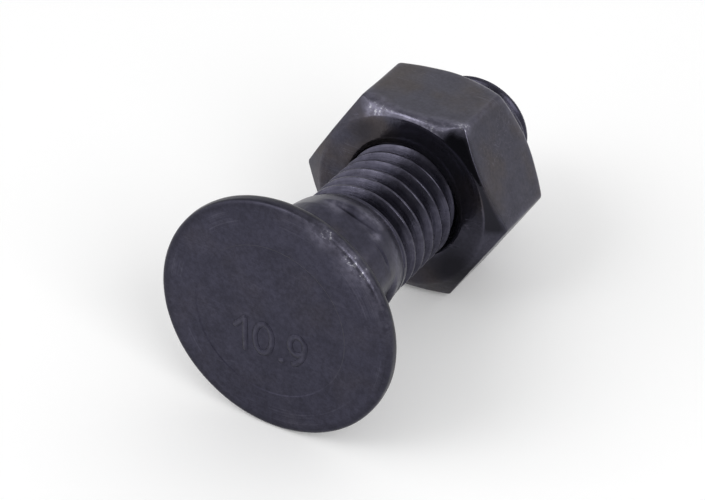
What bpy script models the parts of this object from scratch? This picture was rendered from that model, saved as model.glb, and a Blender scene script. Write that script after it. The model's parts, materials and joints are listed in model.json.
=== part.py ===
# Plow bolt with its hexagon nut, lying at rest on the floor.
# The bolt is one forged piece: a flat round head with a narrow rim, a countersunk cone under it, a short
# square neck whose corners keep the round of the bar, a tapered collar, and a rolled M12 thread.
# Both pieces are made along their own X axis, the head's face at zero, and hang on one empty on that axis.

import math

import bmesh
import bpy
from mathutils import Vector

MM = 0.001

# The head: a flat disc with a countersunk cone behind its rim
HEAD_DIAMETER = 23.8 * MM
HEAD_RIM = 1.2 * MM
HEAD_EDGE_RADIUS = 0.45 * MM
HEAD_CONE_HALF_ANGLE = math.radians(45)

# The square neck. Its corners run straight from the cone, then taper down the collar to the thread.
# The bolt came to rest with its flats turned this far from level and upright
NECK_WIDTH = 12.0 * MM
NECK_CORNERS = 13.8 * MM
NECK_TURN = math.radians(18)
NECK_LENGTH = 3.3 * MM
NECK_FLAT_OVERRUN = 1.2 * MM
NECK_SHOULDER_ANGLE = math.radians(50)
COLLAR_LENGTH = 3.8 * MM
NECK_START = HEAD_RIM + (HEAD_DIAMETER - NECK_CORNERS) / 2 / math.tan(HEAD_CONE_HALF_ANGLE)
COLLAR_START = NECK_START + NECK_LENGTH

# The thread, ISO metric coarse. Its depth is 17/24 of the height of the sharp triangle on its pitch
THREAD_DIAMETER = 11.85 * MM
THREAD_PITCH = 1.75 * MM
THREAD_HALF_ANGLE = math.radians(30)
THREAD_CREST_FLAT = THREAD_PITCH / 8
THREAD_DEPTH = THREAD_PITCH * 17 / 48 / math.tan(THREAD_HALF_ANGLE)
THREAD_START = COLLAR_START + COLLAR_LENGTH
THREAD_RUNOUT = 0.9 * MM
BOLT_LENGTH = 40.0 * MM
END_CHAMFER = 1.15 * MM

# The nut: a hexagon turned off at both faces, seen here part of the way along the thread
HEXAGON_SIDES = 6
NUT_WIDTH = 18.9 * MM
NUT_HEIGHT = 9.85 * MM
NUT_PLACE = 23.45 * MM
NUT_CORNER_RADIUS = 0.35 * MM
NUT_FACE_DIAMETER = 17.8 * MM
NUT_CHAMFER_ANGLE = math.radians(30)
NUT_COUNTERSINK_WIDTH = 0.525 * MM
NUT_COUNTERSINK_HALF_ANGLE = math.radians(60)
THREAD_CLEARANCE = 0.1 * MM

# How finely round forms are divided
BOLT_SIDES = 60
NUT_SIDES = 72
NUT_CORNER_STEPS = 2
EDGE_STEPS = 3

# Points closer than this are one point
SAME_POINT = 0.0001 * MM
# How far a cutter runs past the solid it cuts
CUTTER_OVERRUN = 1.0 * MM
# Turns of thread that are laid out past each end and fall together there
SPARE_TURNS = 2
# Edges that turn more than this stay sharp when the surface is shaded smooth
SHARP_ANGLE = math.radians(28)

BLACK_OXIDE = (0.045, 0.044, 0.055, 1.0)
BLACK_NUT_STEEL = (0.055, 0.053, 0.058, 1.0)


def clear_scene():
    for item in list(bpy.data.objects):
        bpy.data.objects.remove(item, do_unlink=True)


def steel(name, colour, roughness):
    material = bpy.data.materials.new(name)
    material.use_nodes = True
    shader = material.node_tree.nodes["Principled BSDF"]
    shader.inputs["Base Color"].default_value = colour
    shader.inputs["Metallic"].default_value = 1.0
    shader.inputs["Roughness"].default_value = roughness
    material.diffuse_color = colour
    return material


def add_object(name, bm, parent, x=0.0):
    """Makes an object of a bmesh, at a place along the parent's X axis."""
    bmesh.ops.recalc_face_normals(bm, faces=bm.faces)
    mesh = bpy.data.meshes.new(name)
    bm.to_mesh(mesh)
    bm.free()
    mesh.shade_smooth()
    mesh.set_sharp_from_angle(angle=SHARP_ANGLE)
    item = bpy.data.objects.new(name, mesh)
    item.parent = parent
    item.location.x = x
    bpy.context.scene.collection.objects.link(item)
    return item


def around_axis(x, radius, angle):
    """A point at a distance from the X axis. The angle turns from +Y towards +Z."""
    return Vector((x, radius * math.cos(angle), radius * math.sin(angle)))


def side_angles(count):
    return [2 * math.pi * side / count for side in range(count)]


def weld_and_cap(bm):
    bmesh.ops.remove_doubles(bm, verts=bm.verts, dist=SAME_POINT)
    rims = [edge for edge in bm.edges if edge.is_boundary]
    bmesh.ops.holes_fill(bm, edges=rims, sides=0)


# The bolt

def neck_radius(angle):
    """Distance from the axis to the square neck: to a flat, or to the round of a corner."""
    from_flat = angle - NECK_TURN
    to_flat = NECK_WIDTH / 2 / max(abs(math.cos(from_flat)), abs(math.sin(from_flat)))
    return min(to_flat, NECK_CORNERS / 2)


def forged_line(angle):
    """The outline on one side, from the rim's back to the thread, as (x, radius) where it turns."""
    neck = neck_radius(angle)
    cone_end = HEAD_RIM + (HEAD_DIAMETER / 2 - neck) / math.tan(HEAD_CONE_HALF_ANGLE)

    # A flat runs on into the collar until its shoulder starts, or until the collar's taper meets it
    narrowing = (NECK_CORNERS - THREAD_DIAMETER) / 2 / COLLAR_LENGTH
    under_corners = NECK_CORNERS / 2 - neck
    overrun = NECK_FLAT_OVERRUN
    if under_corners < overrun * narrowing:
        overrun = under_corners / narrowing
    rise = under_corners - overrun * narrowing
    shoulder_run = rise / (math.tan(NECK_SHOULDER_ANGLE) + narrowing)
    flat_end = COLLAR_START + overrun
    return (
        (HEAD_RIM, HEAD_DIAMETER / 2),
        (cone_end, neck),
        (flat_end, neck),
        (flat_end + shoulder_run, neck + shoulder_run * math.tan(NECK_SHOULDER_ANGLE)),
        (THREAD_START, THREAD_DIAMETER / 2),
    )


def groove_depth(x, angle):
    """How deep the right-hand thread is cut here. It is full from the end of its run-out."""
    along = (x - THREAD_START - THREAD_PITCH * angle / (2 * math.pi)) % THREAD_PITCH
    from_crest = min(along, THREAD_PITCH - along)
    depth = (from_crest - THREAD_CREST_FLAT / 2) / math.tan(THREAD_HALF_ANGLE)
    fade = min((x - THREAD_START) / THREAD_RUNOUT, 1.0)
    return min(max(depth, 0.0), THREAD_DEPTH) * fade


def threaded_radius(x, angle):
    chamfer = max(x - (BOLT_LENGTH - END_CHAMFER), 0.0)
    return THREAD_DIAMETER / 2 - max(groove_depth(x, angle), chamfer)


def thread_line(bm, angle):
    """Points along one side of the thread. Those past its ends fall together there."""
    flank = THREAD_DEPTH * math.tan(THREAD_HALF_ANGLE)
    crest = THREAD_CREST_FLAT / 2
    ridge = (-crest, crest, crest + flank, THREAD_PITCH - crest - flank)
    turns = math.ceil((BOLT_LENGTH - THREAD_START) / THREAD_PITCH)
    points = []
    for turn in range(-SPARE_TURNS, turns + SPARE_TURNS):
        for offset in ridge:
            x = THREAD_START + THREAD_PITCH * (turn + angle / (2 * math.pi)) + offset
            x = min(max(x, THREAD_START), BOLT_LENGTH)
            points.append(bm.verts.new(around_axis(x, threaded_radius(x, angle), angle)))
    return points, len(ridge)


def add_strip(bm, left, right):
    """Faces between two lines of points. Pairs that fell together leave no face."""
    for first, second, third, fourth in zip(left, right, right[1:], left[1:]):
        if (first.co - fourth.co).length > SAME_POINT or (second.co - third.co).length > SAME_POINT:
            bm.faces.new((first, second, third, fourth))


def make_bolt(parent, material):
    bm = bmesh.new()
    angles = side_angles(BOLT_SIDES)
    edge_centre = HEAD_DIAMETER / 2 - HEAD_EDGE_RADIUS

    # The head's rounded edge, the cone, the neck and the collar, as lines that run along the bolt
    lines = []
    for angle in angles:
        line = []
        for step in range(EDGE_STEPS + 1):
            turn = math.pi / 2 * step / EDGE_STEPS
            x = HEAD_EDGE_RADIUS * (1 - math.cos(turn))
            radius = edge_centre + HEAD_EDGE_RADIUS * math.sin(turn)
            line.append(bm.verts.new(around_axis(x, radius, angle)))
        for x, radius in forged_line(angle):
            line.append(bm.verts.new(around_axis(x, radius, angle)))
        lines.append(line)
    for side, line in enumerate(lines):
        add_strip(bm, line, lines[(side + 1) % BOLT_SIDES])

    # The thread climbs one pitch a turn, so its last line meets the first one a ridge further on
    threads = []
    for angle in angles:
        points, per_turn = thread_line(bm, angle)
        threads.append(points)
    for left, right in zip(threads, threads[1:]):
        add_strip(bm, left, right)
    add_strip(bm, threads[-1], threads[0][per_turn:])

    weld_and_cap(bm)
    bolt = add_object("plow_bolt", bm, parent)
    bolt.data.materials.append(material)
    return bolt


# The nut

def turned_solid(name, profile, parent, x):
    """A solid of revolution round the X axis, from (x, radius) points that start and end on the axis."""
    bm = bmesh.new()
    points = [bm.verts.new(around_axis(at, radius, 0.0)) for at, radius in profile]
    edges = [bm.edges.new(pair) for pair in zip(points, points[1:])]
    bmesh.ops.spin(
        bm,
        geom=points + edges,
        cent=(0.0, 0.0, 0.0),
        axis=(1.0, 0.0, 0.0),
        angle=2 * math.pi,
        steps=NUT_SIDES,
    )
    bmesh.ops.remove_doubles(bm, verts=bm.verts, dist=SAME_POINT)
    tool = add_object(name, bm, parent, x)
    tool.hide_render = True
    tool.display_type = "WIRE"
    return tool


def nut_corner():
    """Distance from the axis to a sharp corner of the hexagon."""
    return NUT_WIDTH / 2 / math.cos(math.pi / HEXAGON_SIDES)


def nut_blank(parent):
    """The form that turning leaves: flat faces, and a cone that takes the corners off each of them."""
    face = NUT_FACE_DIAMETER / 2
    outer = nut_corner() + CUTTER_OVERRUN
    depth = (outer - face) * math.tan(NUT_CHAMFER_ANGLE)
    profile = [
        (0.0, 0.0),
        (0.0, face),
        (depth, outer),
        (NUT_HEIGHT - depth, outer),
        (NUT_HEIGHT, face),
        (NUT_HEIGHT, 0.0),
    ]
    return turned_solid("nut_blank_guide", profile, parent, NUT_PLACE)


def nut_bore(parent):
    """The bore, which clears the bolt's thread, with a countersink at each face."""
    bore = THREAD_DIAMETER / 2 + THREAD_CLEARANCE
    slope = math.tan(NUT_COUNTERSINK_HALF_ANGLE)
    depth = NUT_COUNTERSINK_WIDTH / slope
    mouth = bore + NUT_COUNTERSINK_WIDTH + CUTTER_OVERRUN * slope
    profile = [
        (-CUTTER_OVERRUN, 0.0),
        (-CUTTER_OVERRUN, mouth),
        (depth, bore),
        (NUT_HEIGHT - depth, bore),
        (NUT_HEIGHT + CUTTER_OVERRUN, mouth),
        (NUT_HEIGHT + CUTTER_OVERRUN, 0.0),
    ]
    return turned_solid("nut_bore_cutter", profile, parent, NUT_PLACE)


def make_nut(parent, material):
    # Corners at the sides, so that one flat faces up and its opposite faces the floor
    bm = bmesh.new()
    ring = []
    for angle in side_angles(HEXAGON_SIDES):
        ring.append(bm.verts.new(around_axis(-CUTTER_OVERRUN, nut_corner(), angle)))
    base = bm.faces.new(ring)
    raised = bmesh.ops.extrude_face_region(bm, geom=[base])
    moved = [item for item in raised["geom"] if isinstance(item, bmesh.types.BMVert)]
    bmesh.ops.translate(bm, verts=moved, vec=(NUT_HEIGHT + 2 * CUTTER_OVERRUN, 0.0, 0.0))
    uprights = [edge for edge in bm.edges if abs(edge.verts[0].co.x - edge.verts[1].co.x) > NUT_HEIGHT]
    bmesh.ops.bevel(
        bm,
        geom=uprights,
        offset=NUT_CORNER_RADIUS,
        segments=NUT_CORNER_STEPS,
        profile=0.5,
        affect="EDGES",
    )
    nut = add_object("hex_nut", bm, parent, NUT_PLACE)
    nut.data.materials.append(material)

    for name, operation, tool in (
        ("turned_faces", "INTERSECT", nut_blank(parent)),
        ("bore", "DIFFERENCE", nut_bore(parent)),
    ):
        cut = nut.modifiers.new(name, "BOOLEAN")
        cut.operation = operation
        cut.solver = "EXACT"
        cut.object = tool
    return nut


# The whole

def rest_tilt():
    """The head is wider than the nut, so the bolt lies with its nut end a little lower."""
    turned_off = max(NUT_WIDTH - NUT_FACE_DIAMETER, 0.0) / 2 * math.tan(NUT_CHAMFER_ANGLE)
    nut_edge = NUT_PLACE + NUT_HEIGHT - turned_off
    return math.atan2((HEAD_DIAMETER - NUT_WIDTH) / 2, nut_edge - HEAD_RIM)


def lay_on_floor(axis, pieces):
    """Tilts the axis as the bolt rests, then centres the length on x = 0 and sets the pieces on z = 0."""
    axis.rotation_euler.y = rest_tilt()
    bpy.context.view_layer.update()
    graph = bpy.context.evaluated_depsgraph_get()
    corners = []
    for piece in pieces:
        shape = piece.evaluated_get(graph)
        corners += [shape.matrix_world @ vertex.co for vertex in shape.data.vertices]
    along = [point.x for point in corners]
    axis.location.x = -(min(along) + max(along)) / 2
    axis.location.z = -min(point.z for point in corners)
    bpy.context.view_layer.update()


def main():
    clear_scene()
    axis = bpy.data.objects.new("bolt_axis", None)
    bpy.context.scene.collection.objects.link(axis)
    bolt = make_bolt(axis, steel("black_oxide_forged_steel", BLACK_OXIDE, 0.45))
    nut = make_nut(axis, steel("black_oxide_nut_steel", BLACK_NUT_STEEL, 0.4))
    lay_on_floor(axis, (bolt, nut))


main()
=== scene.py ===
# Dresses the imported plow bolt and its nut, and sets them on a pale studio floor.
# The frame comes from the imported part. Every piece here rides on one of its bodies.

import json
import math
from collections import namedtuple

import bmesh
import bpy
from bpy.props import FloatProperty, FloatVectorProperty, PointerProperty
from bpy.types import Operator, Panel, PropertyGroup
from mathutils import Matrix, Vector, noise


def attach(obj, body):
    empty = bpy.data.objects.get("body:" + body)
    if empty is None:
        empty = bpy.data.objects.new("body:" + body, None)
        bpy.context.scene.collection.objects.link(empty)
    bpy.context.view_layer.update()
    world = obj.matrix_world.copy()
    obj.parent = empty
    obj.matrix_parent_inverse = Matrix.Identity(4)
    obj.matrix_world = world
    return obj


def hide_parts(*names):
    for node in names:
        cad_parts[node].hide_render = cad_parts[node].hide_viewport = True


bl_info = {
    "name": "Plow Bolt",
    "version": (1, 0, 0),
    "blender": (4, 5, 0),
    "location": "View3D > Sidebar > Plow Bolt",
    "description": "Makes a black steel plow bolt with its nut, on a studio floor",
    "category": "Add Mesh",
}

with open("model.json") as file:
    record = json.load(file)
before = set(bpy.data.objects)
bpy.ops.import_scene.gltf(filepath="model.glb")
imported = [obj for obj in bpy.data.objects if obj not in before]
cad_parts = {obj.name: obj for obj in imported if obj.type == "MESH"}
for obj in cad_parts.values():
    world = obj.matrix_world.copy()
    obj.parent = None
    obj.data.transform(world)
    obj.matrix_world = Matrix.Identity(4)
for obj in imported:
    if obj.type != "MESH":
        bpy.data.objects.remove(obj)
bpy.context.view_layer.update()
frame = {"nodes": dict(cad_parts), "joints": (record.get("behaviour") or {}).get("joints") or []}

MM = 0.001
FULL_TURN = 2 * math.pi

BOLT_COLUMNS = 180
HEXAGON_SIDES = 6
# Points closer than this are one point, and those less than this from a plane lie on it
SAME_POINT = 0.0002 * MM
SAME_PLANE = 0.001 * MM
# Turns of thread that are laid out past each end and fall together there
SPARE_TURNS = 2
# Unevenness fades out over this length where two forms meet
FADE_LENGTH = 1.0 * MM
# Vertex attribute that says how far the oxide is rubbed off, where the lighter rubbed colour is also a
# painted highlight on edges. Below zero the colour is darker: painted shade, and the dark line in the
# crease under the neck's shoulders
WEAR_AND_PAINTED_LIGHT = "worn"

# A corner of an outline: its place, how far from it the rounding starts, the steps round it, the steps
# of the straight run that leads to it, and how worn it is
Corner = namedtuple("Corner", "x radius rounding arc_steps run_steps worn")


# Sizes and colours

def millimetres(name, description, value):
    return FloatProperty(
        name=name, description=description, default=value * MM, min=0.0, precision=5, unit="LENGTH"
    )


def degrees(name, description, value):
    return FloatProperty(name=name, description=description, default=math.radians(value), subtype="ANGLE")


def linear(hex_colour):
    """An sRGB colour such as 3C3B45 as linear red, green and blue."""
    values = [int(hex_colour[at:at + 2], 16) / 255 for at in (0, 2, 4)]
    return tuple(v / 12.92 if v <= 0.04045 else ((v + 0.055) / 1.055) ** 2.4 for v in values)


def colour(name, description, hex_colour):
    return FloatVectorProperty(
        name=name, description=description, default=linear(hex_colour), size=3, subtype="COLOR",
        min=0.0, max=1.0,
    )


class BoltSizes(PropertyGroup):
    """Sizes of the bolt and its nut, measured along the bolt from the head's face"""

    head_diameter: millimetres("Head diameter", "Across the rim of the head", 23.8)
    head_rim: millimetres("Rim", "Thickness of the rim", 1.2)
    head_edge: millimetres("Rim edge", "Rounding of the rim's front edge where it is rubbed most", 1.15)
    face_ring: millimetres("Face ring", "Radius of the faint ring on the head's face", 7.7)
    face_step: millimetres("Face step", "How far the face is sunk inside the ring", 0.06)
    cone_half_angle: degrees("Cone", "Half angle of the countersunk cone", 45.0)
    cone_fillet: millimetres("Cone fillet", "How much the cone and the neck run into each other", 0.7)
    neck_width: millimetres("Neck width", "Across the flats of the square neck", 12.0)
    neck_corners: millimetres("Neck corners", "Across the round corners of the neck", 13.8)
    neck_turn: degrees("Neck turn", "How far the flats are turned from level", 18.0)
    neck_length: millimetres("Neck length", "Straight length of the neck's corners", 3.3)
    flat_overrun: millimetres("Flat overrun", "How far a flat runs on into the collar", 1.2)
    shoulder_angle: degrees("Shoulder", "Slope of the shoulder at the end of a flat", 55.0)
    collar_length: millimetres("Collar", "Length of the taper from neck to thread", 3.8)
    thread_diameter: millimetres("Thread diameter", "Across the thread's crests", 11.85)
    thread_pitch: millimetres("Pitch", "Advance of the thread in one turn", 1.75)
    thread_phase: millimetres("Thread phase", "How far the ridges are shifted towards the head", 0.45)
    thread_runout: millimetres("Run-out", "Length in which the grooves get their full depth", 1.2)
    bolt_length: millimetres("Length", "From the head's face to the bolt's end", 39.96)
    end_chamfer: millimetres("End chamfer", "Length of the chamfer at the bolt's end", 0.8)
    end_edge: millimetres("End edge", "Rounding of the bolt's end", 0.12)
    nut_width: millimetres("Nut width", "Across the flats of the nut", 18.9)
    nut_height: millimetres("Nut height", "Between the faces of the nut", 9.85)
    nut_place: millimetres("Nut place", "From the head's face to the nut", 23.45)
    nut_corner: millimetres("Nut corners", "Radius of the nut's long corners", 0.45)
    nut_face: millimetres("Nut face", "Across the flat turned on the front face", 17.8)
    nut_back_face: millimetres("Nut back face", "Across the flat turned on the back face", 18.4)
    nut_chamfer_angle: degrees("Nut chamfer", "Slope of the chamfer on the front corners", 30.0)
    nut_back_angle: degrees("Nut back chamfer", "Slope of the chamfer on the back corners", 40.0)
    nut_countersink: millimetres("Countersink", "Across the mouth of the bore", 12.3)
    nut_minor: millimetres("Nut minor diameter", "Across the crests of the nut's thread", 10.2)
    nut_major: millimetres("Nut major diameter", "Across the roots of the nut's thread", 12.05)
    digit_height: millimetres("Digit height", "Height of the strength class on the head", 3.3)
    digit_stroke: millimetres("Digit stroke", "Width of a digit's stroke", 0.62)
    digit_relief: millimetres("Digit relief", "How far the digits stand out of the face", 0.12)


class BoltColours(PropertyGroup):
    """Colours of the steel and of the studio"""

    bolt_oxide: colour("Bolt oxide", "The oxide on the bolt", "393845")
    nut_oxide: colour("Nut oxide", "The oxide on the nut", "41404B")
    brown: colour("Brown tint", "The oxide where it is thin", "474140")
    # Lighter oxide where it is rubbed thin, and also a painted sheen that stands in for highlights on
    # rounded edges
    polished_and_sheen: colour("Polished edge", "The oxide where it is rubbed thin and smooth", "6C6A79")
    steel: colour("Bare steel", "Steel where the oxide is rubbed off", "A2A2AA")
    floor: colour("Floor", "Pale paper under the bolt", "F2F2F2")


# Outlines

# The rounding of a corner takes no more than this share of the run that follows it
MOST_OF_RUN = 0.65


def outline_points(corners):
    """Points of a line through rounded corners, as (x, radius, worn)."""
    places = [Vector((corner.x, corner.radius)) for corner in corners]
    points = [(places[0].x, places[0].y, corners[0].worn)]
    start = places[0]
    for number, corner in enumerate(corners[1:], 1):
        here = places[number]
        last = number == len(corners) - 1
        into = here - places[number - 1]
        out = Vector((0.0, 0.0)) if last else places[number + 1] - here
        reach = min(corner.rounding, (here - start).length, out.length * MOST_OF_RUN)
        arc_start = here - into.normalized() * reach
        arc_end = here + out.normalized() * reach
        for step in range(1, corner.run_steps + 1):
            at = start.lerp(arc_start, step / corner.run_steps)
            points.append((at.x, at.y, 0.0 if step < corner.run_steps else corner.worn / 2))
        for step in range(1, corner.arc_steps + 1):
            share = step / corner.arc_steps
            at = arc_start.lerp(here, share).lerp(here.lerp(arc_end, share), share)
            points.append((at.x, at.y, corner.worn * (1.0 - abs(share - 0.5))))
        start = arc_end
    return points


def soft_step(value):
    """From 0 to 1, with no corner at either end."""
    value = min(max(value, 0.0), 1.0)
    return value * value * (3 - 2 * value)


def soft_min(first, second, blend):
    """The lower of two values, rounded over where they are less than the blend apart."""
    share = max(blend - abs(first - second), 0.0) / blend
    return min(first, second) - share * share * blend / 4


def around_axis(x, radius, angle):
    """A point at a distance from the X axis. The angle turns from +Y towards +Z."""
    return Vector((x, radius * math.cos(angle), radius * math.sin(angle)))


def uneven(place, size, least=0.0, most=1.0):
    """Smooth noise from the least to the most, with lumps of about the given size."""
    return least + (most - least) * (0.5 + 0.5 * noise.noise(place / size))


def spot_wear_and_light(spots, place):
    """How much the spots add to the wear and painted highlight at a place, or take from it where they
    paint shade.
    """
    place = place / MM
    return sum(
        much * soft_step(1.0 - (place - around_axis(along, radius, math.radians(side))).length / width)
        for along, radius, side, width, much in spots
    )


class Skin:
    """A mesh that is laid down as lines of points side by side."""

    def __init__(self):
        self.bm = bmesh.new()
        self.worn = self.bm.verts.layers.float.new(WEAR_AND_PAINTED_LIGHT)

    def line(self, points):
        made = []
        for place, worn in points:
            vertex = self.bm.verts.new(place)
            vertex[self.worn] = worn
            made.append(vertex)
        return made

    def strip(self, left, right):
        for first, second, third, fourth in zip(left, right, right[1:], left[1:]):
            if (first.co - fourth.co).length > SAME_POINT or (second.co - third.co).length > SAME_POINT:
                self.bm.faces.new((first, second, third, fourth))

    def all_round(self, lines, shift=0):
        """Strips all round the axis. The last line meets the first one some points further on."""
        for left, right in zip(lines, lines[1:]):
            self.strip(left, right)
        self.strip(lines[-1], lines[0][shift:])

    def piece(self, name, material, matrix):
        bmesh.ops.remove_doubles(self.bm, verts=self.bm.verts, dist=SAME_POINT)
        bmesh.ops.dissolve_degenerate(self.bm, edges=self.bm.edges, dist=SAME_POINT)
        bmesh.ops.recalc_face_normals(self.bm, faces=self.bm.faces)
        self.bm.transform(matrix)
        mesh = bpy.data.meshes.new(name)
        self.bm.to_mesh(mesh)
        self.bm.free()
        mesh.shade_smooth()
        mesh.materials.append(material)
        item = bpy.data.objects.new(name, mesh)
        bpy.context.scene.collection.objects.link(item)
        return item


def bolt_matrix():
    """The bolt's axes in the frame: X along the bolt from the head's face, Z up from its resting side."""
    along = Vector(frame["joints"][0]["axis"]).normalized()
    side = Vector((0.0, 1.0, 0.0))
    up = along.cross(side)
    places = [vertex.co for vertex in frame["nodes"]["plow_bolt"].data.vertices]
    face = min(place.dot(along) for place in places)
    rim = [place for place in places if place.dot(along) < face + SAME_PLANE]
    origin = sum(rim, Vector()) / len(rim)
    rotation = Matrix((along, side, up)).transposed()
    return Matrix.Translation(origin) @ rotation.to_4x4()


# The bolt's head, neck and collar

# Middle of the step on the face, off the bolt's axis as the die was
RING_CENTRE = Vector((0.0, 0.5, -0.45)) * MM
RING_SLOPE = 0.16 * MM
# The face is divided finely this far to each side of the ring
RING_ZONE = 0.8 * MM
# Rounding of the rim's back edge and how much shade is painted on it, and how far the head's outline goes
# on down the cone
RIM_BACK_ROUNDING = 0.45 * MM
RIM_BACK_SHADE = 0.6
CONE_LEAD = 0.5 * MM
# How the neck is rounded: between a flat and the corners, and at the foot of the shoulder
NECK_ROUNDING = 0.5 * MM
SHOULDER_FOOT = 0.1 * MM
# The collar's slope, and how it ends: steeply, in a groove just before the thread, rounded over
COLLAR_SLOPE = 0.19
COLLAR_FOOT = 0.3 * MM
COLLAR_FOOT_SLOPE = 0.8
COLLAR_ROUNDING = 0.5 * MM
# How far the groove lies inside the thread's crests, and how it is rounded
GROOVE_DEPTH = 0.04 * MM
GROOVE_ROUNDING = 0.15 * MM
NECK_STATIONS = 84
# Depth of the forged skin's dents, and the sizes of its lumps with the share that each has
FORGED_UNEVENNESS = 0.06 * MM
FORGED_LUMPS = ((2.6 * MM, 0.7), (0.9 * MM, 0.3))
# The neck is thinner on this side, this far to each side of it, by this much
THIN_SIDE = math.radians(208)
THIN_HALF = math.radians(60)
THIN_BY = 0.35 * MM
# Small forging marks at a corner of the neck, in mm and degrees: how far along the bolt, the angles they
# run between, their width and depth. Past those angles they fade out
MARK_FADE = 2
NECK_MARKS = (
    (9.3, 137, 153, 0.22, 0.12),
    (10.25, 126, 133, 0.2, 0.08),
)
# The rim is rubbed most on this side, and there its lighter rubbed colour is also a painted highlight.
# Round it the wear falls off with this power, to these shares of its wear and of its rounding
RUBBED_SIDE = math.radians(130)
RUBBED_FALLOFF = 5
LEAST_RUBBED = 0.12
LEAST_ROUNDED = 0.35
# Spots of wear and painted highlight, in mm and degrees: how far along the bolt and from its axis, on
# which side, how wide, and how much. The two on the rim are rubbed and are also painted highlights, the
# three on the collar from 120 to 180 degrees are painted highlights, and the last two are rubbed specks
WEAR_AND_HIGHLIGHT_SPOTS = (
    (0.3, 11.5, 131, 2.9, 1.15),
    (0.2, 11.2, 112, 2.0, 1.1),
    (11.9, 6.4, 120, 2.4, 2.0),
    (12.0, 6.4, 160, 2.6, 1.45),
    (11.6, 6.4, 180, 2.2, 1.2),
    (10.2, 6.7, 131, 0.9, 2.4),
    (10.8, 6.2, 88, 1.7, 1.7),
)
# The collar's ridge is this far before its foot and this wide. It and the neck's corners are rubbed
RIDGE_BEFORE_FOOT = 0.9 * MM
RIDGE_WIDTH = 1.2 * MM
RIDGE_WORN = 0.1
CORNER_WORN = 0.3
# The dark crease under a flat's shoulder: its width, how deep the flat has to lie for it, the length of
# its broken stretches, and how dark it is at least and at most
CREASE_WIDTH = 0.16 * MM
CREASE_UNDER = 0.7 * MM
CREASE_STRETCH = 1.3 * MM
CREASE_DARK = (0.2, 1.8)


def thread_start_of(sizes):
    cone_slope = math.tan(sizes.cone_half_angle)
    neck_start = sizes.head_rim + (sizes.head_diameter - sizes.neck_corners) / 2 / cone_slope
    return neck_start + sizes.neck_length + sizes.collar_length


def face_relief(sizes, place):
    """How far the face is sunk. It is a little lower inside the ring."""
    inside = soft_step((sizes.face_ring - (place - RING_CENTRE).length) / RING_SLOPE + 0.5)
    return sizes.face_step * inside


def head_corners(sizes, edge):
    """The head's outline, from the middle of its face over the rim's rounded edge to the cone."""
    head = sizes.head_diameter / 2
    ring = sizes.face_ring
    on_cone = head - CONE_LEAD * math.tan(sizes.cone_half_angle)
    return (
        Corner(0.0, 0.0, 0.0, 0, 0, 0.0),
        Corner(0.0, ring - RING_ZONE, 0.0, 0, 16, 0.0),
        Corner(0.0, ring + RING_ZONE, 0.0, 0, 44, 0.0),
        Corner(0.0, head, edge, 10, 10, 1.0),
        Corner(sizes.head_rim, head, RIM_BACK_ROUNDING, 6, 3, -RIM_BACK_SHADE),
        Corner(sizes.head_rim + CONE_LEAD, on_cone, 0.0, 0, 3, 0.0),
    )


def neck_mark(x, angle):
    """Depth of the small forging marks on the neck at a place."""
    depth = 0.0
    side = math.degrees(angle)
    for along, first, last, width, deep in NECK_MARKS:
        off_along = abs(x / MM - along) / width
        off_side = max(first - side, side - last, 0.0) / MARK_FADE
        depth += deep * soft_step(1.0 - off_along) * soft_step(1.0 - off_side)
    return depth * MM


def neck_point(sizes, x, angle):
    """Radius and wear on the cone, the square neck and the collar.

    A flat ends in a shoulder. The corners and the collar share one round outside, and the cone runs
    into it.
    """
    collar_start = thread_start_of(sizes) - sizes.collar_length
    past_flat = x - collar_start - sizes.flat_overrun
    taper = sizes.neck_corners / 2 - max(x - collar_start, 0.0) * COLLAR_SLOPE
    crest = sizes.thread_diameter / 2
    foot = thread_start_of(sizes) - COLLAR_FOOT
    ending = crest + (foot - x) * COLLAR_FOOT_SLOPE
    collar = soft_min(taper, ending, COLLAR_ROUNDING)
    round_side = -soft_min(-collar, GROOVE_DEPTH - crest, GROOVE_ROUNDING)
    from_flat = angle - sizes.neck_turn
    to_flat = sizes.neck_width / 2 / max(abs(math.cos(from_flat)), abs(math.sin(from_flat)))
    to_flat -= soft_min(-past_flat * math.tan(sizes.shoulder_angle), 0.0, SHOULDER_FOOT)
    on_thin_side = soft_step(1.0 - abs(angle - THIN_SIDE) / THIN_HALF)
    thinner = THIN_BY * on_thin_side * soft_step((foot - x) / FADE_LENGTH)
    neck = soft_min(to_flat, round_side, NECK_ROUNDING) - thinner
    cone = sizes.head_diameter / 2 - (x - sizes.head_rim) * math.tan(sizes.cone_half_angle)
    radius = -soft_min(-cone, -neck, sizes.cone_fillet)
    # The corners and the ridge of the collar are rubbed, and the crease under the shoulder is dark
    on_ridge = soft_step(1.0 - abs(x - foot + RIDGE_BEFORE_FOOT) / RIDGE_WIDTH)
    on_corner = soft_step(1.0 - abs(to_flat - round_side) / NECK_ROUNDING) if neck > cone else 0.0
    worn = max(RIDGE_WORN * on_ridge, CORNER_WORN * on_corner)
    in_crease = soft_step(1.0 - abs(past_flat) / CREASE_WIDTH)
    under_round = soft_step((round_side - to_flat) / CREASE_UNDER)
    broken = uneven(around_axis(x, radius, angle), CREASE_STRETCH, *CREASE_DARK)
    return radius, worn - broken * under_round * in_crease


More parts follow.
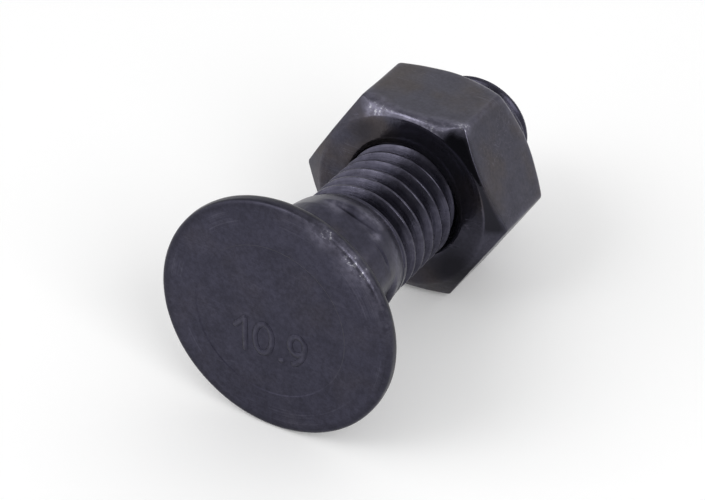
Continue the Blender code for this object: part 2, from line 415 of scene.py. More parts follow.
def forged_line(sizes, angle):
    thread_start = thread_start_of(sizes)
    head = sizes.head_diameter / 2
    facing = max(math.cos(angle - RUBBED_SIDE), 0.0) ** RUBBED_FALLOFF
    rubbed = LEAST_RUBBED + (1 - LEAST_RUBBED) * facing
    edge = sizes.head_edge * (LEAST_ROUNDED + (1 - LEAST_ROUNDED) * rubbed)
    outline = outline_points(head_corners(sizes, edge))
    neck_from = outline[-1][0]
    for station in range(1, NECK_STATIONS + 1):
        x = neck_from + (thread_start - neck_from) * station / NECK_STATIONS
        outline.append((x, *neck_point(sizes, x, angle)))
    # The last ring meets the thread's crest, a hair outside the groove before it
    outline.append((thread_start, sizes.thread_diameter / 2, 0.0))
    points = []
    for x, radius, worn in outline:
        place = around_axis(x, radius, angle)
        if x == 0.0:
            place.x += face_relief(sizes, place)
        else:
            # Forging leaves the rim and the neck a little uneven, and always inside their nominal size
            fade = soft_step((thread_start - x) / FADE_LENGTH) * radius / head
            dent = sum(share * uneven(place, size) for size, share in FORGED_LUMPS)
            place = around_axis(x, radius - dent * fade * FORGED_UNEVENNESS - neck_mark(x, angle), angle)
        amount = worn * rubbed if worn > 0.0 else worn
        points.append((place, amount + spot_wear_and_light(WEAR_AND_HIGHLIGHT_SPOTS, place)))
    return points


# The thread

THREAD_SLOPE = math.tan(math.radians(30))
# Depth of a rolled thread's groove, in pitches
GROOVE_SHARE = 17 / 48 / THREAD_SLOPE
CREST_ROUNDING = 0.06 * MM
ROOT_ROUNDING = 0.15 * MM
# A groove begins this far before the thread's start, and its end rises over this length
RUNOUT_LEAD = 0.3 * MM
GROOVE_END = 0.35 * MM
# Depth and size of the crests' lumps
ROLLING_UNEVENNESS = 0.03 * MM
ROLLING_LUMPS = 0.8 * MM
# The wear on the crests, which also paints a highlight along them, begins over this length
CREST_WEAR_FADE = 0.5 * MM
# Rounding between the crests, the end chamfer and the end face, and how worn the end's edge is
END_ROUNDING = 0.12 * MM
END_WORN = 0.4


class Thread:
    """The rolled thread: one ridge of it, and how deep it is cut at any place."""

    def __init__(self, sizes):
        self.pitch = sizes.thread_pitch
        self.start = thread_start_of(sizes)
        self.first_crest = self.start - sizes.thread_phase
        self.runout = sizes.thread_runout
        depth = self.pitch * GROOVE_SHARE
        crest = self.pitch / 16
        root = crest + depth * THREAD_SLOPE
        # The crest's corners are worn, and their lighter colour is also a painted highlight along the
        # crests
        corners = (
            Corner(0.0, 0.0, 0.0, 0, 0, 0.7),
            Corner(crest, 0.0, CREST_ROUNDING, 3, 1, 1.0),
            Corner(root, depth, ROOT_ROUNDING, 3, 2, 0.0),
            Corner(self.pitch / 2, depth, 0.0, 0, 1, 0.0),
        )
        self.half = outline_points(corners)
        self.ridge = [(-x, d, w) for x, d, w in reversed(self.half[1:-1])] + self.half

    def crest(self, turn, angle):
        return self.first_crest + self.pitch * (turn + angle / FULL_TURN)

    def depth(self, x, angle):
        along = (x - self.crest(0, angle)) % self.pitch
        from_crest = min(along, self.pitch - along)
        for (x0, d0, _), (x1, d1, _) in zip(self.half, self.half[1:]):
            if from_crest <= x1:
                return d0 + (d1 - d0) * (from_crest - x0) / max(x1 - x0, SAME_POINT)
        return self.half[-1][1]

    def fade(self, x, groove):
        """Share of its depth that the groove has at a place, given where the groove's middle is."""
        begun = soft_step((groove - self.start + RUNOUT_LEAD) / self.runout)
        return begun * soft_step((x - self.start) / GROOVE_END)


def thread_line(sizes, thread, angle):
    """Points along one side of the thread, as far as the rounded end of the bolt."""
    crest = sizes.thread_diameter / 2
    last = sizes.bolt_length - sizes.end_edge
    turns = math.ceil((sizes.bolt_length - thread.start) / thread.pitch)
    points = []
    for turn in range(-SPARE_TURNS, turns + SPARE_TURNS):
        middle = thread.crest(turn, angle)
        for offset, depth, worn in thread.ridge:
            groove = middle + math.copysign(thread.pitch / 2, offset)
            x = middle + offset
            if x > last:
                x = last
                depth = thread.depth(x, angle)
            x = max(x, thread.start)
            radius = crest - depth * thread.fade(x, groove)
            # Rounding over takes a quarter of itself off the crest where the chamfer meets it
            chamfered = crest + END_ROUNDING / 4 - (x - (sizes.bolt_length - sizes.end_chamfer))
            radius = soft_min(radius, chamfered, END_ROUNDING)
            if x > thread.start:
                from_start = soft_step((x - thread.start) / thread.pitch)
                lump = uneven(around_axis(x, crest, angle), ROLLING_LUMPS)
                radius -= ROLLING_UNEVENNESS * from_start * lump
            worn *= soft_step((x - thread.start) / CREST_WEAR_FADE)
            points.append((around_axis(x, radius, angle), worn))
    return points


def end_line(sizes, place, angle):
    """From the end of the thread round the edge to the middle of the end face."""
    edge = math.hypot(place.y, place.z)
    corners = (
        Corner(place.x, edge, 0.0, 0, 0, END_WORN),
        Corner(sizes.bolt_length, edge - sizes.end_edge, END_ROUNDING, 3, 2, END_WORN),
        Corner(sizes.bolt_length, 0.0, 0.0, 0, 10, 0.0),
    )
    return [(around_axis(x, radius, angle), worn) for x, radius, worn in outline_points(corners)]


def make_bolt_piece(sizes, material, matrix):
    skin = Skin()
    thread = Thread(sizes)
    angles = [FULL_TURN * column / BOLT_COLUMNS for column in range(BOLT_COLUMNS)]
    forged = [skin.line(forged_line(sizes, angle)) for angle in angles]
    threaded = [skin.line(thread_line(sizes, thread, angle)) for angle in angles]
    ends = [skin.line(end_line(sizes, line[-1].co, angle)) for line, angle in zip(threaded, angles)]
    skin.all_round(forged)
    skin.all_round(ends)
    # The thread climbs one pitch a turn, so its last line meets the first one a ridge further on
    skin.all_round(threaded, len(thread.ridge))
    return skin.piece("bolt_shell", material, matrix)


# The strength class on the head

# Half of a stroke's section, as shares of its half width and of its height
STROKE_SECTION = ((1.0, 0.0), (0.78, 0.22), (0.5, 0.68), (0.25, 0.93), (0.0, 1.0))
# How far a stroke reaches into the face, as a share of its height
STROKE_FOOT = -0.8
STROKE_CAP_STEPS = 4
# A cap's last section has this share of its size, and a stroke is closed whose ends are this near
STROKE_TIP = 0.02
STROKE_CLOSED = 0.01
# Degrees in a step round an arc
ARC_STEP = 12
# Left foot of the first digit, to the right of the face's middle and up
DIGITS_FOOT = Vector((-3.95, -4.3)) * MM
# The digits are pressed unevenly, in lumps of this size, to between these shares of their height. They
# are rubbed on top, from this share of it
DIGIT_LUMPS = 0.9 * MM
DIGIT_PRESSED = (0.5, 1.2)
DIGIT_TOP = 0.8
DIGIT_WORN = 0.3


def arc_stroke(centre, half_width, half_height, start, sweep):
    """Points on an ellipse, in shares of the digits' height. Angles are in degrees, from the right."""
    count = max(int(abs(sweep) / ARC_STEP), 2)
    middle = Vector(centre)
    angles = [math.radians(start + sweep * step / count) for step in range(count + 1)]
    return [middle + Vector((half_width * math.cos(a), half_height * math.sin(a))) for a in angles]


def digit_strokes():
    """Strokes of 10.9, in shares of the digits' height, from the left foot of the one."""
    straight = [
        [Vector((0.0, 0.68)), Vector((0.27, 0.97))],
        [Vector((0.27, 0.97)), Vector((0.33, 0.02))],
        [Vector((1.48, 0.05)), Vector((1.5, 0.06))],
    ]
    zero = arc_stroke((0.88, 0.53), 0.27, 0.47, 90, 360)
    nine_loop = arc_stroke((1.94, 0.70), 0.24, 0.29, 0, 360)
    nine_tail = arc_stroke((1.72, 0.70), 0.46, 0.66, 0, -70)
    return [*straight, zero, nine_loop, nine_tail]


def stroke_rings(points, half_width, height):
    """Sections across a stroke, as lists of (along, across, up), with round ends where it isn't closed."""
    closed = (points[0] - points[-1]).length < STROKE_CLOSED * half_width
    rows = [(point, 1.0) for point in points]
    if not closed:
        for end, before in ((0, 1), (-1, -2)):
            outwards = (points[end] - points[before]).normalized() * half_width
            caps = []
            for step in range(1, STROKE_CAP_STEPS + 1):
                share = math.sin(math.pi / 2 * step / STROKE_CAP_STEPS)
                size = max(math.sqrt(max(1 - share * share, 0.0)), STROKE_TIP)
                caps.append((points[end] + outwards * share, size))
            rows = caps[::-1] + rows if end == 0 else rows + caps
    places = [row[0] for row in rows]
    rings = []
    for number, (place, size) in enumerate(rows):
        before = places[number - 1] if number > 0 else places[-2] if closed else place
        after = places[number + 1] if number < len(rows) - 1 else places[1] if closed else place
        across = (after - before).normalized().orthogonal()
        section = [*STROKE_SECTION, *((-share, up) for share, up in reversed(STROKE_SECTION[:-1]))]
        ring = []
        for share, up in section:
            at = place + across * share * half_width * size
            ring.append((at.x, at.y, up * height * size))
        ring.append((place.x, place.y, STROKE_FOOT * height))
        rings.append(ring)
    return rings


def make_digits(sizes, material, matrix):
    """Raised digits on the head's face. They read upright when the head is seen from the front."""
    skin = Skin()
    for stroke in digit_strokes():
        points = [DIGITS_FOOT + point * sizes.digit_height for point in stroke]
        lines = []
        for ring in stroke_rings(points, sizes.digit_stroke / 2, sizes.digit_relief):
            places = []
            for right, up, out in ring:
                place = Vector((0.0, -right, up))
                place.x = face_relief(sizes, place) - out * uneven(place, DIGIT_LUMPS, *DIGIT_PRESSED)
                places.append((place, DIGIT_WORN if out > DIGIT_TOP * sizes.digit_relief else 0.0))
            lines.append(skin.line(places))
        for left, right in zip(lines, lines[1:]):
            skin.strip(left + left[:1], right + right[:1])
        if (lines[0][0].co - lines[-1][0].co).length > SAME_POINT:
            skin.bm.faces.new(lines[0])
            skin.bm.faces.new(lines[-1])
    return skin.piece("strength_class_digits", material, matrix)


# The nut

# Depth and size of the lumps in the nut's skin
NUT_UNEVENNESS = 0.05 * MM
NUT_LUMPS = 1.7 * MM
# Rounding of its outline at the front face, at the front edge where it is sharp and how much more where
# it is rubbed, at the back edge and at the back face
FACE_ROUNDING = 0.25 * MM
SHARP_ROUNDING = 0.12 * MM
RUBBED_ROUNDING = 0.8 * MM
BACK_ROUNDING = 0.35 * MM
BACK_FACE_ROUNDING = 0.3 * MM
# The front edge's wear goes on this far along the flats. A long corner's begins over this length, and
# goes this far to each side, where it ends over this angle
EDGE_WEAR_REACH = 0.2 * MM
CORNER_WEAR_START = 0.5 * MM
CORNER_WEAR_REACH = math.radians(3.38)
CORNER_WEAR_FADE = math.radians(2.6)
# How worn the rims of the front face and the bore are, the back face's rim, the front edge and what
# rubbing adds to it, the back edge and what rubbing adds to it, and the long corners
RIM_WORN = 0.3
BACK_RIM_WORN = 0.1
FRONT_WORN = 0.1
FRONT_RUBBED = 1.2
BACK_WORN = 0.4
BACK_RUBBED = 0.9
LONG_CORNER_WORN = 0.5
# The whole front chamfer is this worn where it is rubbed, where its lighter colour is also a painted
# highlight, and this dark where shade is painted on it. There the edge itself is this much more worn
CHAMFER_RUBBED = 1.7
CHAMFER_SHADE = 1.2
DARK_EDGE_WORN = 1.4
BORE_ROUNDING = 0.06 * MM
COUNTERSINK_SLOPE = math.tan(math.radians(60))
# Angles of the columns of points from a long corner to the middle of the flat beside it, in degrees
COLUMN_OFFSETS = (0.0, 0.4, 0.8, 1.2, 1.6, 2.0, 2.6, 4.0, 7.0, 11.0, 16.0, 21.0, 26.0, 30.0)
# Stretches of the nut's edges: the side that each faces and how far it goes to both sides of that. The
# front edge is rubbed on one and has painted shade on the next, the back edge is rubbed on the third,
# where its lighter colour is also a painted highlight
RUBBED_STRETCH = (math.radians(88), math.radians(31))
SHADE_STRETCH = (math.radians(148), math.radians(38))
BACK_STRETCH = (math.radians(128), math.radians(30))
# A stretch fades out at its ends over this angle
STRETCH_FADE = math.radians(8)
# Spots on the nut, as on the bolt: those above zero are rubbed, and those below zero are painted shade on
# the front face
NUT_SPOTS = (
    (1.1, 10.8, 119, 1.4, 2.9),
    (0.4, 9.5, 66, 2.0, 0.5),
    (0.0, 8.6, 222, 5.0, -1.2),
    (0.0, 7.8, 55, 3.4, -0.6),
)


def nut_angles():
    """Columns round the nut, close together at its corners."""
    steps = [-offset for offset in reversed(COLUMN_OFFSETS[1:-1])] + list(COLUMN_OFFSETS)
    angles = []
    for corner in range(HEXAGON_SIDES):
        angles += [math.radians(360 / HEXAGON_SIDES * corner + step) for step in steps]
    return angles


def off_corner(angle):
    """Angle to the nearest long corner of the nut."""
    sector = FULL_TURN / HEXAGON_SIDES
    return abs((angle + sector / 2) % sector - sector / 2)


def hexagon_radius(sizes, angle):
    """Distance from the axis to the hexagon, with its long corners rounded."""
    half_sector = math.pi / HEXAGON_SIDES
    to_flat = sizes.nut_width / 2 / math.cos(half_sector - off_corner(angle))
    centre = (sizes.nut_width / 2 - sizes.nut_corner) / math.cos(half_sector)
    off = centre * math.sin(off_corner(angle))
    if off < sizes.nut_corner * math.sin(half_sector):
        return centre * math.cos(off_corner(angle)) + math.sqrt(sizes.nut_corner ** 2 - off ** 2)
    return to_flat


def within(stretch, angle):
    """From 0 outside a stretch of an edge to 1 inside it."""
    side, half = stretch
    return soft_step((half - abs(angle - side)) / STRETCH_FADE)


def nut_outline(sizes, angle):
    """From the bore's front mouth over the outside of the nut to the bore's back mouth."""
    mouth = sizes.nut_countersink / 2
    face = sizes.nut_face / 2
    flat = hexagon_radius(sizes, angle)
    chamfer = (flat - face) * math.tan(sizes.nut_chamfer_angle)
    back_face = sizes.nut_back_face / 2
    back_chamfer = (flat - back_face) * math.tan(sizes.nut_back_angle)
    height = sizes.nut_height
    # The edge is rubbed round on the flat that faces up, and sharp beside it, where shade is painted
    rubbed = within(RUBBED_STRETCH, angle)
    dark = within(SHADE_STRETCH, angle)
    edge = SHARP_ROUNDING + RUBBED_ROUNDING * rubbed
    edge_worn = FRONT_WORN + FRONT_RUBBED * rubbed + DARK_EDGE_WORN * dark
    back_worn = BACK_WORN + BACK_RUBBED * within(BACK_STRETCH, angle)
    corners = (
        Corner(0.0, mouth, 0.0, 0, 0, RIM_WORN),
        Corner(0.0, face, FACE_ROUNDING, 4, 5, RIM_WORN),
        Corner(chamfer, flat, edge, 8, 3, edge_worn),
        Corner(height - back_chamfer, flat, BACK_ROUNDING, 8, 14, back_worn),
        Corner(height, back_face, BACK_FACE_ROUNDING, 4, 6, BACK_RIM_WORN),
        Corner(height, mouth, 0.0, 0, 5, RIM_WORN),
    )
    at_corner = soft_step((CORNER_WEAR_REACH - off_corner(angle)) / CORNER_WEAR_FADE)
    points = []
    for x, radius, worn in outline_points(corners):
        place = around_axis(x, radius, angle)
        out = soft_step((radius - mouth) / FADE_LENGTH)
        if x < chamfer + EDGE_WEAR_REACH and radius > face:
            worn = max(worn, CHAMFER_RUBBED * rubbed) - CHAMFER_SHADE * dark
        place = around_axis(x, radius - uneven(place, NUT_LUMPS) * out * NUT_UNEVENNESS, angle)
        on_edge = LONG_CORNER_WORN * at_corner * soft_step((x - chamfer) / CORNER_WEAR_START)
        worn = max(worn, on_edge) if worn > 0.0 or on_edge > 0.0 else worn
        points.append((place, worn + spot_wear_and_light(NUT_SPOTS, place)))
    return points


def nut_bore_line(sizes, thread, angle):
    """Points along the nut's own thread on one side, from its front mouth to its back one."""
    mouth = sizes.nut_countersink / 2
    minor = sizes.nut_minor / 2
    major = sizes.nut_major / 2
    first_turn = math.floor((sizes.nut_place - thread.first_crest) / thread.pitch)
    turns = math.ceil(sizes.nut_height / thread.pitch) + 1
    points = []
    for turn in range(first_turn - SPARE_TURNS, first_turn + turns + SPARE_TURNS):
        for offset, depth, _ in thread.ridge:
            # The nut's grooves lie over the bolt's ridges
            x = thread.crest(turn, angle) + offset - sizes.nut_place
            if x < 0.0 or x > sizes.nut_height:
                x = min(max(x, 0.0), sizes.nut_height)
                depth = thread.depth(x + sizes.nut_place, angle)
            radius = max(major - depth, minor)
            countersunk = mouth - min(x, sizes.nut_height - x) * COUNTERSINK_SLOPE
            radius = -soft_min(-radius, -countersunk, BORE_ROUNDING)
            if x in (0.0, sizes.nut_height):
                radius = mouth
            points.append((around_axis(x, radius, angle), 0.0))
    return points


def make_nut_piece(sizes, material, matrix):
    skin = Skin()
    thread = Thread(sizes)
    angles = nut_angles()
    skin.all_round([skin.line(nut_outline(sizes, angle)) for angle in angles])
    skin.all_round([skin.line(nut_bore_line(sizes, thread, angle)) for angle in angles], len(thread.ridge))
    return skin.piece("nut_shell", material, matrix @ Matrix.Translation((sizes.nut_place, 0.0, 0.0)))


# Materials

WHITE = (1.0, 1.0, 1.0)
# Oxide that lies thick, and the shade painted on the bolt's rim and thread, are as dark as this share of
# its colour
THICK_OXIDE_AND_SHADE = 0.6
# What the paper shines by itself, for the camera and in reflections
PAPER_LIFT = 0.12
PAPER_ROUGHNESS = 0.9
# Kinds of node, with their own options. A noise takes a place, a seed, lumps per millimetre, detail and
# roughness, a ramp its value, where that begins and ends and what it becomes there
NOISE = ("ShaderNodeTexNoise", {"noise_dimensions": "4D"})
RAMP = ("ShaderNodeMapRange", {"interpolation_type": "SMOOTHSTEP"})
BLEND = ("ShaderNodeMix", {"data_type": "RGBA"})
VECTOR = ("ShaderNodeCombineXYZ", {})
COORDINATES = ("ShaderNodeTexCoord", {})
SHADER = ("ShaderNodeBsdfPrincipled", {})
SURFACE = ("ShaderNodeOutputMaterial", {})
ADD, TAKE, TIMES, TIMES_ADD, LESSER, GREATER, ABSOLUTE = (
    ("ShaderNodeMath", {"operation": operation})
    for operation in ("ADD", "SUBTRACT", "MULTIPLY", "MULTIPLY_ADD", "MINIMUM", "MAXIMUM", "ABSOLUTE")
)


def add_node(owner, kind, *values, **named):
    """Adds a node of a kind. Returns the only output that it uses, or else all of them, to take by name.

    Values go to the sockets in use, in their order, and named ones to the socket of that name, with
    underscores for spaces. Each is a plain value or an output to link.
    """
    node_type, options = kind
    tree = owner.node_tree
    node = tree.nodes.new(node_type)
    for name, value in options.items():
        setattr(node, name, value)
    given = list(zip([socket for socket in node.inputs if socket.enabled], values))
    given += [(node.inputs[name.replace("_", " ")], value) for name, value in named.items()]
    for socket, value in given:
        if isinstance(value, bpy.types.NodeSocket):
            tree.links.new(value, socket)
        else:
            socket.default_value = value
    used = [output for output in node.outputs if output.enabled]
    return used[0] if len(used) == 1 else node.outputs


def new_material(name):
    material = bpy.data.materials.new(name)
    material.use_nodes = True
    material.node_tree.nodes.clear()
    return material


def rgba(values, share=1.0):
    """A colour, or a share of it that is darker, with its alpha."""
    return (*(share * value for value in values), 1.0)


class Layers:
    """What the layers of one material share: places in millimetres along the bolt, patches, and the wear
    with painted highlight and painted shade.
    """

    def __init__(self, name, matrix):
        self.material = new_material(name)
        in_frame = self.node(COORDINATES)["Object"]
        onto_bolt = ("ShaderNodeMapping", {"vector_type": "TEXTURE"})
        self.place = self.node(onto_bolt, in_frame, matrix.translation, matrix.to_euler(), (MM, MM, MM))
        parts = self.node(("ShaderNodeSeparateXYZ", {}), self.place)
        self.along = parts["X"]
        across = self.node(VECTOR, Y=parts["Y"], Z=parts["Z"])
        self.radius = self.node(("ShaderNodeVectorMath", {"operation": "LENGTH"}), across)
        worn = self.node(("ShaderNodeAttribute", {"attribute_name": WEAR_AND_PAINTED_LIGHT}))["Fac"]
        # Above zero the attribute gives wear and painted highlight, below zero painted shade and the dark
        # crease
        self.worn = self.node(GREATER, worn, 0.0)
        self.dark = self.node(GREATER, self.node(TIMES, worn, -1.0), 0.0)

    def node(self, kind, *values, **named):
        return add_node(self.material, kind, *values, **named)

    def patches(self, size, seed, low, high, start=0.0, end=1.0, detail=3.0, roughness=0.55):
        """Soft-edged patches of a size in millimetres, which go from one value to another."""
        lumps = self.node(NOISE, self.place, seed, 1 / size, detail, roughness)["Fac"]
        return self.node(RAMP, lumps, low, high, start, end)

    def mottled(self, skin, size, amount, seed):
        """The colour, lighter and darker in spots of a size."""
        value = self.patches(size, seed, 0.25, 0.75, 1 - amount, 1 + amount, 2.0, 0.7)
        return self.node(("ShaderNodeHueSaturation", {}), Color=skin, Value=value)

    def scratches(self, turn, size, seed):
        """Fine straight scratches: where a noise drawn out along one direction passes its middle."""
        stretched = self.node(("ShaderNodeMapping", {}), self.place, Rotation=turn, Scale=(1.0, 0.06, 1.0))
        wandering = self.node(NOISE, stretched, seed, 1 / size, 1.0, 0.55)["Fac"]
        off = self.node(ABSOLUTE, self.node(TAKE, wandering, 0.5))
        line = self.node(RAMP, off, 0.0, 0.012, 1.0, 0.0)
        return self.node(TIMES, line, self.patches(4.0, seed + 5.0, 0.55, 0.65, detail=1.0))

    def wear(self, skin, polished_and_sheen, steel, rubbing):
        """Edges are rubbed thin and shiny, with specks of bare steel. The lighter colour of the rubbed
        places is also a painted highlight.
        """
        patchy = self.node(TIMES, self.worn, self.patches(0.7, 9.0, 0.4, 0.6, 0.4, 1.0, 4.0, 0.65))
        # Painted highlight and thinned oxide: rubbed places take the lighter colour
        thinned_and_sheen = self.node(LESSER, self.node(TIMES, patchy, 0.55), 1.0)
        skin = self.node(BLEND, thinned_and_sheen, skin, rgba(polished_and_sheen))
        specks = self.node(NOISE, self.place, 2.0, 1 / 0.3, 4.0, 0.7)["Fac"]
        bare = self.node(RAMP, self.node(TIMES_ADD, patchy, rubbing, specks), 0.8, 0.88, 0.0, 0.9)
        return self.node(BLEND, bare, skin, rgba(steel)), bare

    def finish(self, skin, roughness, metallic, heights):
        """Ends the material in a metal shader, with bumps from pairs of a height and its depth in mm.

        The oxide scatters a little light of its own, so it isn't wholly metallic.
        """
        relief = {}
        for height, depth in heights:
            bump = self.node(
                ("ShaderNodeBump", {}), Strength=1.0, Distance=depth * MM, Height=height, **relief
            )
            relief = {"Normal": bump}
        shader = self.node(SHADER, Base_Color=skin, Metallic=metallic, Roughness=roughness, **relief)
        self.node(SURFACE, shader)
        return self.material


def black_oxide_forged_steel(colours, sizes, matrix):
    """Hot-forged steel with a rolled thread, blacked in hot salts.

    The oxide is thin, so the metal keeps a satin blue-black sheen. The forged skin is grainy,
    the face has faint turning rings, the rolled thread is smooth, and edges are rubbed to bare steel.
    """
    layers = Layers("black_oxide_forged_steel", matrix)
    node = layers.node
    oxide = colours.bolt_oxide
    head = sizes.head_diameter / MM
    thread_start = thread_start_of(sizes) / MM
    on_face = node(RAMP, layers.along, 0.35, 0.7, 1.0, 0.0)
    on_thread = node(RAMP, layers.along, thread_start, thread_start + 0.6)
    # Blotches of thinner and thicker oxide, 5 mm and 1.2 mm across. It is thinnest on the neck
    thin = layers.patches(5.0, 1.0, 0.45, 0.7, detail=4.0)
    thin = node(TIMES, thin, node(RAMP, layers.along, 3.0, 7.0, 0.15, 0.5))
    thin = node(TIMES, thin, node(RAMP, layers.along, 10.5, 12.0, 1.0, 0.3))
    skin = node(BLEND, thin, rgba(oxide), rgba(colours.brown))
    thick = layers.patches(1.2, 4.0, 0.45, 0.75, 0.0, 0.25)
    skin = node(BLEND, thick, skin, rgba(oxide, THICK_OXIDE_AND_SHADE))
    # Rings left by turning the face are about 0.1 mm apart on the real one, and drawn 0.25 mm apart
    # to show. Those that rolling leaves on the thread are 0.12 mm apart
    streaks = node(VECTOR, layers.radius, layers.along)
    near_rim = node(RAMP, layers.radius, head * 0.3, head * 0.45, 0.12, 1.0)
    turned = node(NOISE, streaks, 6.0, 1 / 0.25, 1.0, 0.55)["Fac"]
    for mask in (on_face, near_rim, layers.patches(5.0, 16.0, 0.35, 0.65, 0.3, 1.0, detail=1.0)):
        turned = node(TIMES, turned, mask)
    rolled = node(TIMES, node(NOISE, streaks, 5.0, 1 / 0.12, 2.0, 0.55)["Fac"], on_thread)
    rings_show = node(RAMP, node(ADD, turned, rolled), 0.4, 0.65, 0.0, 0.22)
    skin = node(BLEND, rings_show, skin, rgba(colours.polished_and_sheen))
    # Painted shade: the rim is darker than the rest, and the thread a little darker
    on_rim = node(TIMES, node(RAMP, layers.radius, head * 0.455, head * 0.485), 0.8)
    rim_and_thread_shade = node(GREATER, on_rim, node(TIMES, on_thread, 0.35))
    skin = node(BLEND, rim_and_thread_shade, skin, rgba(oxide, THICK_OXIDE_AND_SHADE))
    # Painted shade where the attribute is below zero, on the rim's back edge, and the dark line in the
    # crease under the shoulders
    skin = node(BLEND, layers.dark, skin, rgba(oxide, 0.35))
    marks = layers.scratches((0.2, 1.2, 0.4), 1.3, 31.0)
    marks = node(GREATER, marks, layers.scratches((1.1, -0.3, 0.9), 1.0, 35.0))
    skin = node(BLEND, node(TIMES, marks, 0.08), skin, rgba(colours.polished_and_sheen))
    skin = layers.mottled(skin, 0.4, 0.18, 41.0)
    skin = layers.mottled(skin, 2.0, 0.12, 43.0)
    # The rim is rubbed to bare specks, the neck hardly
    rubbing = node(RAMP, layers.along, 4.0, 8.0, 0.2, 0.12)
    skin, bare = layers.wear(skin, colours.polished_and_sheen, colours.steel, rubbing)
    grain = node(NOISE, layers.place, 3.0, 1 / 0.3, 3.0, 0.65)["Fac"]
    # Only the forged skin is pitted, the rolled thread isn't
    pits = node(NOISE, layers.place, 7.0, 1 / 0.7, 2.0, 0.55)["Fac"]
    pits = node(TIMES, pits, node(TAKE, 1.0, on_thread))
    satin = layers.patches(2.2, 8.0, 0.3, 0.7, 0.34, 0.42)
    satin = node(TIMES_ADD, on_thread, -0.1, satin)
    roughness = node(TIMES_ADD, bare, -0.1, satin)
    heights = ((turned, 0.008), (rolled, 0.008), (pits, 0.02), (grain, 0.012))
    return layers.finish(skin, roughness, 0.92, heights)


def black_oxide_cold_formed_steel(colours, sizes, matrix):
    """Cold-formed steel, blacked in hot salts: smoother than the bolt, with brown tints and scratches."""
    layers = Layers("black_oxide_cold_formed_steel", matrix)
    node = layers.node
    oxide = colours.nut_oxide
    thin = layers.patches(6.0, 11.0, 0.42, 0.66, 0.0, 0.8, detail=4.0)
    skin = node(BLEND, thin, rgba(oxide), rgba(colours.brown))
    thick = layers.patches(1.4, 14.0, 0.45, 0.75, 0.0, 0.2)
    skin = node(BLEND, thick, skin, rgba(oxide, THICK_OXIDE_AND_SHADE))
    marks = layers.scratches((0.3, 0.4, 0.9), 0.9, 21.0)
    marks = node(GREATER, marks, layers.scratches((0.9, 0.2, -0.5), 0.7, 25.0))
    skin = node(BLEND, node(TIMES, marks, 0.3), skin, rgba(colours.polished_and_sheen))
    skin = layers.mottled(skin, 0.35, 0.16, 51.0)
    skin = layers.mottled(skin, 1.5, 0.06, 53.0)
    # Painted shade where the attribute is below zero: on the front edge beside the rubbed stretch, and in
    # spots on the front face
    skin = node(BLEND, layers.dark, skin, rgba(oxide, 0.3))
    skin, bare = layers.wear(skin, colours.polished_and_sheen, colours.steel, 0.15)
    grain = node(NOISE, layers.place, 13.0, 1 / 0.3, 3.0, 0.65)["Fac"]
    dents = node(NOISE, layers.place, 17.0, 1 / 1.1, 2.0, 0.55)["Fac"]
    # The front face was turned and is smoother than the flats, and so is the front edge where shade is
    # painted
    front = sizes.nut_place / MM
    on_front = node(RAMP, layers.along, front + 0.05, front + 0.4, 1.0, 0.0)
    satin = layers.patches(2.5, 18.0, 0.3, 0.7, 0.3, 0.38)
    satin = node(TIMES_ADD, node(GREATER, on_front, layers.dark), -0.23, satin)
    roughness = node(TIMES_ADD, bare, -0.05, satin)
    return layers.finish(skin, roughness, 0.86, ((dents, 0.012), (grain, 0.008), (marks, -0.004)))


def pale_paper(tone):
    """Matt studio paper, lit to white for the camera and in reflections, with the bolt's shadow on it."""
    material = new_material("matt_white_paper")
    rays = add_node(material, ("ShaderNodeLightPath", {}))
    seen = rays["Is Camera Ray"]
    for ray in ("Is Glossy Ray", "Is Transmission Ray"):
        seen = add_node(material, GREATER, seen, rays[ray])
    lift = add_node(material, TIMES, seen, PAPER_LIFT)
    shader = add_node(
        material, SHADER, Base_Color=rgba(tone), Roughness=PAPER_ROUGHNESS,
        Emission_Color=rgba(WHITE), Emission_Strength=lift,
    )
    add_node(material, SURFACE, shader)
    return material


# Operators

class PLOWBOLT_OT_bolt(Operator):
    """Makes the bolt, with its head, square neck and rolled thread, and the strength class on its head"""

    bl_idname = "plowbolt.bolt"
    bl_label = "Bolt"

    def execute(self, context):
        sizes = context.scene.plow_bolt_sizes
        matrix = bolt_matrix()
        material = black_oxide_forged_steel(context.scene.plow_bolt_colours, sizes, matrix)
        bolt = make_bolt_piece(sizes, material, matrix)
        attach(bolt, "bolt")
        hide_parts("plow_bolt")
        digits = make_digits(sizes, material, matrix)
        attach(digits, "bolt")
        return {"FINISHED"}


class PLOWBOLT_OT_nut(Operator):
    """Makes the hexagon nut, with a thread of its own that fits the bolt's"""

    bl_idname = "plowbolt.nut"
    bl_label = "Nut"

    def execute(self, context):
        matrix = bolt_matrix()
        sizes = context.scene.plow_bolt_sizes
        material = black_oxide_cold_formed_steel(context.scene.plow_bolt_colours, sizes, matrix)
        nut = make_nut_piece(sizes, material, matrix)
        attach(nut, "nut")
        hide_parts("hex_nut")
        return {"FINISHED"}


# Stage

CAMERA_AZIMUTH = math.radians(-61.07)
CAMERA_ELEVATION = math.radians(37.81)
CAMERA_ROLL = math.radians(1.28)
CAMERA_LENS = 140.82
SENSOR_WIDTH = 36.0
# What the camera sees begins and ends this far from it, and the floor reaches this far, in metres
CLIP_START = 0.01
CLIP_END = 10.0
FLOOR_REACH = 3.0
# Where the camera stands from the middle of the head's face
CAMERA_PLACE = Vector((-162.7, -97.73, 155.19)) * MM
# Light of the white room, and what each side of it adds: direction, the cosines at which the side
# begins and is full, and its strength. The room is bright on the left and dark in front of the head.
ROOM_LIGHT = 0.5
ROOM_SIDES = (
    ((-0.62, 0.77, 0.1), 0.55, 0.85, 1.1),
    ((1.0, -0.1, 0.3), 0.3, 0.75, 0.45),
    ((-0.95, -0.25, 0.05), 0.72, 0.9, -0.4),
)
# Soft lamps: name, direction from the part, width, and how bright they look
LAMP_DISTANCE = 0.6
LAMPS = (
    ("lamp_upper_left", (-0.56, 0.38, 0.73), 0.25, 2.5),
    ("lamp_right", (-0.42, -0.66, 0.62), 0.3, 4.0),
)


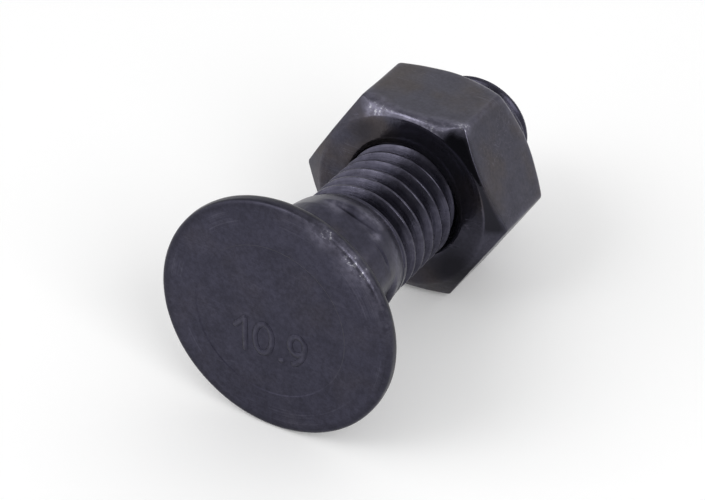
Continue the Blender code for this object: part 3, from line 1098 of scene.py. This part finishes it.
def make_camera(scene):
    back = Vector((
        math.sin(CAMERA_AZIMUTH) * math.cos(CAMERA_ELEVATION),
        -math.cos(CAMERA_AZIMUTH) * math.cos(CAMERA_ELEVATION),
        math.sin(CAMERA_ELEVATION),
    ))
    data = bpy.data.cameras.new("camera")
    data.lens = CAMERA_LENS
    data.sensor_width = SENSOR_WIDTH
    data.clip_start = CLIP_START
    data.clip_end = CLIP_END
    camera = bpy.data.objects.new("camera", data)
    camera.location = bolt_matrix().translation + CAMERA_PLACE
    camera.rotation_mode = "QUATERNION"
    roll = Matrix.Rotation(CAMERA_ROLL, 3, "Z").to_quaternion()
    camera.rotation_quaternion = (-back).to_track_quat("-Z", "Y") @ roll
    scene.collection.objects.link(camera)
    scene.camera = camera


def make_lamp(scene, name, direction, width, radiance):
    """A soft square lamp that points at the part."""
    data = bpy.data.lights.new(name, "AREA")
    data.shape = "SQUARE"
    data.size = width
    data.energy = radiance * math.pi * width * width
    lamp = bpy.data.objects.new(name, data)
    towards = Vector(direction).normalized()
    lamp.location = towards * LAMP_DISTANCE
    lamp.rotation_mode = "QUATERNION"
    lamp.rotation_quaternion = towards.to_track_quat("Z", "Y")
    scene.collection.objects.link(lamp)


def make_floor(scene, material):
    bm = bmesh.new()
    bmesh.ops.create_grid(bm, x_segments=1, y_segments=1, size=FLOOR_REACH)
    mesh = bpy.data.meshes.new("floor")
    bm.to_mesh(mesh)
    bm.free()
    mesh.materials.append(material)
    floor = bpy.data.objects.new("floor", mesh)
    scene.collection.objects.link(floor)


def make_world(scene):
    """A white room round the part, as a strength that depends on the direction."""
    world = bpy.data.worlds.new("studio")
    world.use_nodes = True
    world.node_tree.nodes.clear()
    towards = add_node(world, COORDINATES)["Generated"]
    strength = ROOM_LIGHT
    for direction, begins, full, adds in ROOM_SIDES:
        along_side = ("ShaderNodeVectorMath", {"operation": "DOT_PRODUCT"})
        cosine = add_node(world, along_side, towards, Vector(direction).normalized())
        side = add_node(world, RAMP, cosine, begins, full, 0.0, adds)
        strength = add_node(world, ADD, strength, side)
    light = add_node(world, ("ShaderNodeBackground", {}), rgba(WHITE), strength)
    add_node(world, ("ShaderNodeOutputWorld", {}), light)
    scene.world = world


class PLOWBOLT_OT_stage(Operator):
    """Sets up the floor, the soft lamps and the camera"""

    bl_idname = "plowbolt.stage"
    bl_label = "Stage"

    def execute(self, context):
        scene = context.scene
        make_floor(scene, pale_paper(scene.plow_bolt_colours.floor))
        make_world(scene)
        for lamp in LAMPS:
            make_lamp(scene, *lamp)
        make_camera(scene)
        scene.view_settings.view_transform = "Standard"
        return {"FINISHED"}


class PLOWBOLT_PT_panel(Panel):
    """Lists the pieces of the plow bolt"""

    bl_label = "Plow Bolt"
    bl_idname = "PLOWBOLT_PT_panel"
    bl_space_type = "VIEW_3D"
    bl_region_type = "UI"
    bl_category = "Plow Bolt"

    def draw(self, context):
        layout = self.layout
        for operator in OPERATORS:
            layout.operator(operator.bl_idname)
        for settings in (context.scene.plow_bolt_sizes, context.scene.plow_bolt_colours):
            for name in settings.__annotations__:
                layout.prop(settings, name)


OPERATORS = (PLOWBOLT_OT_bolt, PLOWBOLT_OT_nut, PLOWBOLT_OT_stage)
CLASSES = (BoltSizes, BoltColours, *OPERATORS, PLOWBOLT_PT_panel)


def register():
    for item in CLASSES:
        bpy.utils.register_class(item)
    bpy.types.Scene.plow_bolt_sizes = PointerProperty(type=BoltSizes)
    bpy.types.Scene.plow_bolt_colours = PointerProperty(type=BoltColours)


def unregister():
    del bpy.types.Scene.plow_bolt_colours
    del bpy.types.Scene.plow_bolt_sizes
    for item in reversed(CLASSES):
        bpy.utils.unregister_class(item)


def main():
    register()
    for operator in (bpy.ops.plowbolt.bolt, bpy.ops.plowbolt.nut, bpy.ops.plowbolt.stage):
        operator()


if __name__ == "__main__":
    main()
